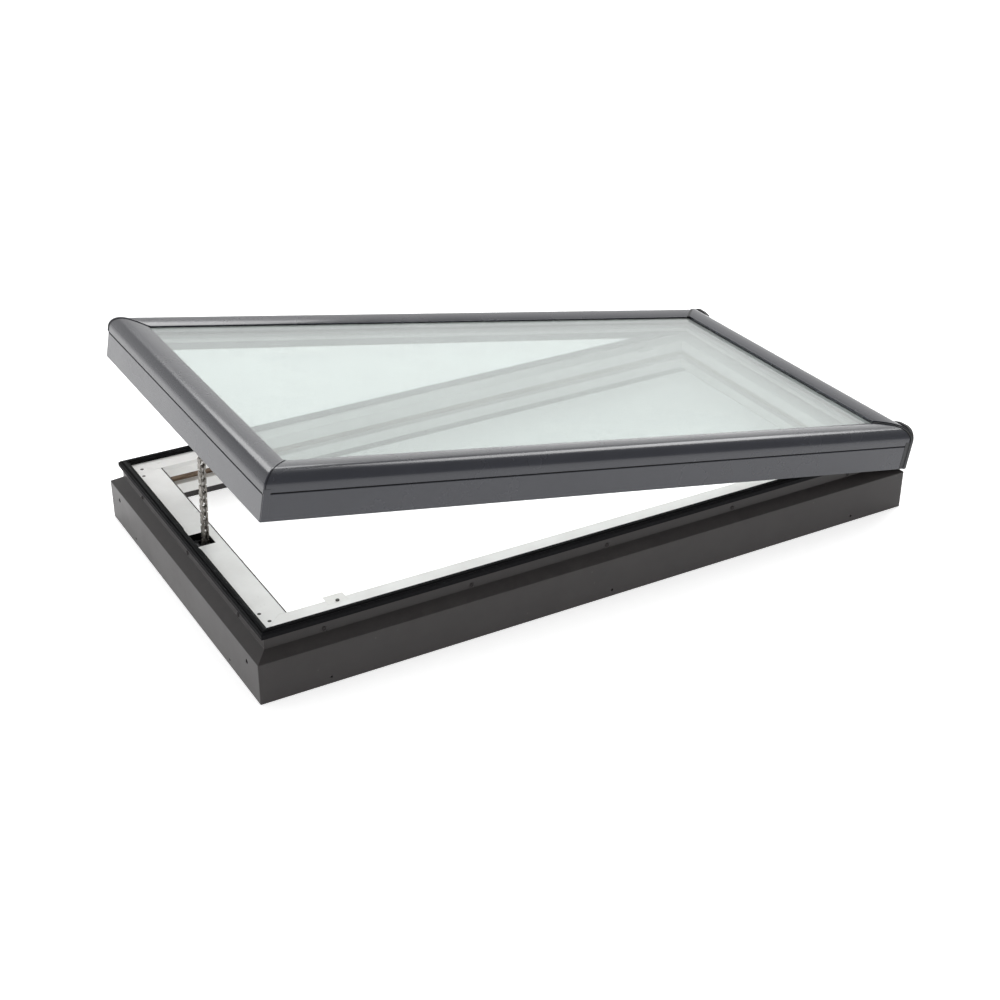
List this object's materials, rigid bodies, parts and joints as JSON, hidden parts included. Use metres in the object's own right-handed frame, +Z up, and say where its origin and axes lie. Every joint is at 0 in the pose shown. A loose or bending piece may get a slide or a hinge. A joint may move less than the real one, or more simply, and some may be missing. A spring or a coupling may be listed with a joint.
{
  "type": "roof skylight",
  "caption": "Curb-mounted venting roof skylight: grey clad timber frame, glazed sash hinged along one short side and held open by a push chain opener.",
  "frame": {"origin": "centre of the roof curb's top face, on which the timber rails rest", "axes": "+X from the opening side to the hinge side, +Y across the frame, +Z up away from the roof"},
  "size_m": [1.3134, 0.6962, 0.3934],
  "materials": {
    "cladding_paint": "satin grey polyester paint on folded aluminium sheet",
    "white_paint": "white painted pine",
    "white_cover": "white painted aluminium",
    "dowel_wood": "bare beech",
    "black_rubber": "black EPDM",
    "foam": "closed-cell foam",
    "zinc_steel": "zinc-plated steel",
    "glazing": "clear float with a faint green edge",
    "mill_aluminium": "mill aluminium",
    "dark_plastic": "moulded glass-filled nylon",
    "circuit_board": "green circuit board"
  },
  "bodies": {
    "frame": {"frame_rail_near": "white_paint", "frame_rail_hinge": "white_paint", "frame_rail_far": "white_paint", "frame_rail_opening": "white_paint", "frame_cladding_near": "cladding_paint", "frame_cladding_hinge": "cladding_paint", "frame_cladding_far": "cladding_paint", "frame_cladding_opening": "cladding_paint", "frame_gasket": "black_rubber", "frame_cladding_screws": "zinc_steel", "frame_corner_dowels": "dowel_wood", "curb_seal": "foam", "screen_catches": "zinc_steel", "frame_wood_screws": "zinc_steel", "opener_case": "dark_plastic", "opener_end_caps": "dark_plastic", "opener_lid": "dark_plastic", "opener_motor": "zinc_steel", "opener_gearbox": "dark_plastic", "chain_guide": "dark_plastic", "control_board": "circuit_board", "cable_gland": "dark_plastic", "hatch_liner": "dark_plastic", "opener_cover": "white_cover", "cover_seal": "black_rubber", "chain_inner_links": "zinc_steel", "chain_outer_links": "zinc_steel", "chain_pins": "zinc_steel", "hinge_frame_leaves": "zinc_steel"},
    "sprocket": {"drive_sprocket": "zinc_steel", "drive_shaft": "zinc_steel"},
    "sash": {"sash_rail_near": "white_paint", "sash_rail_hinge": "white_paint", "sash_rail_far": "white_paint", "sash_rail_opening": "white_paint", "sash_skirt_near": "cladding_paint", "sash_skirt_hinge": "cladding_paint", "sash_skirt_far": "cladding_paint", "sash_skirt_opening": "cladding_paint", "sash_nose_near": "cladding_paint", "sash_nose_hinge": "cladding_paint", "sash_nose_far": "cladding_paint", "sash_nose_opening": "cladding_paint", "corner_seals": "black_rubber", "seam_seals": "black_rubber", "outer_pane": "glazing", "inner_pane": "glazing", "glass_spacer": "mill_aluminium", "glass_edge_seal": "black_rubber", "glazing_gasket": "black_rubber", "glazing_tape": "foam", "setting_blocks": "black_rubber", "hinge_sash_leaves": "zinc_steel", "hinge_pins": "zinc_steel", "chain_lug": "zinc_steel", "sash_wood_screws": "zinc_steel", "sash_corner_dowels": "dowel_wood"}
  },
  "joints": [
    {"name": "sash_hinge", "type": "hinge", "parent": "frame", "child": "sash", "pos_m": [0.641, 0, 0.05], "axis": [0, 1, 0], "range_deg": [-10.6, 0], "deforming": ["chain_inner_links", "chain_outer_links", "chain_pins"]},
    {"name": "sprocket_spin", "type": "hinge", "parent": "frame", "child": "sprocket", "pos_m": [-0.6, 0.0127, 0.032], "axis": [1, 0, 0], "range_deg": [0, 1081]}
  ],
  "couplings": [
    {"joint": "sprocket_spin", "follows": "sash_hinge", "ratio": -101.9}
  ]
}
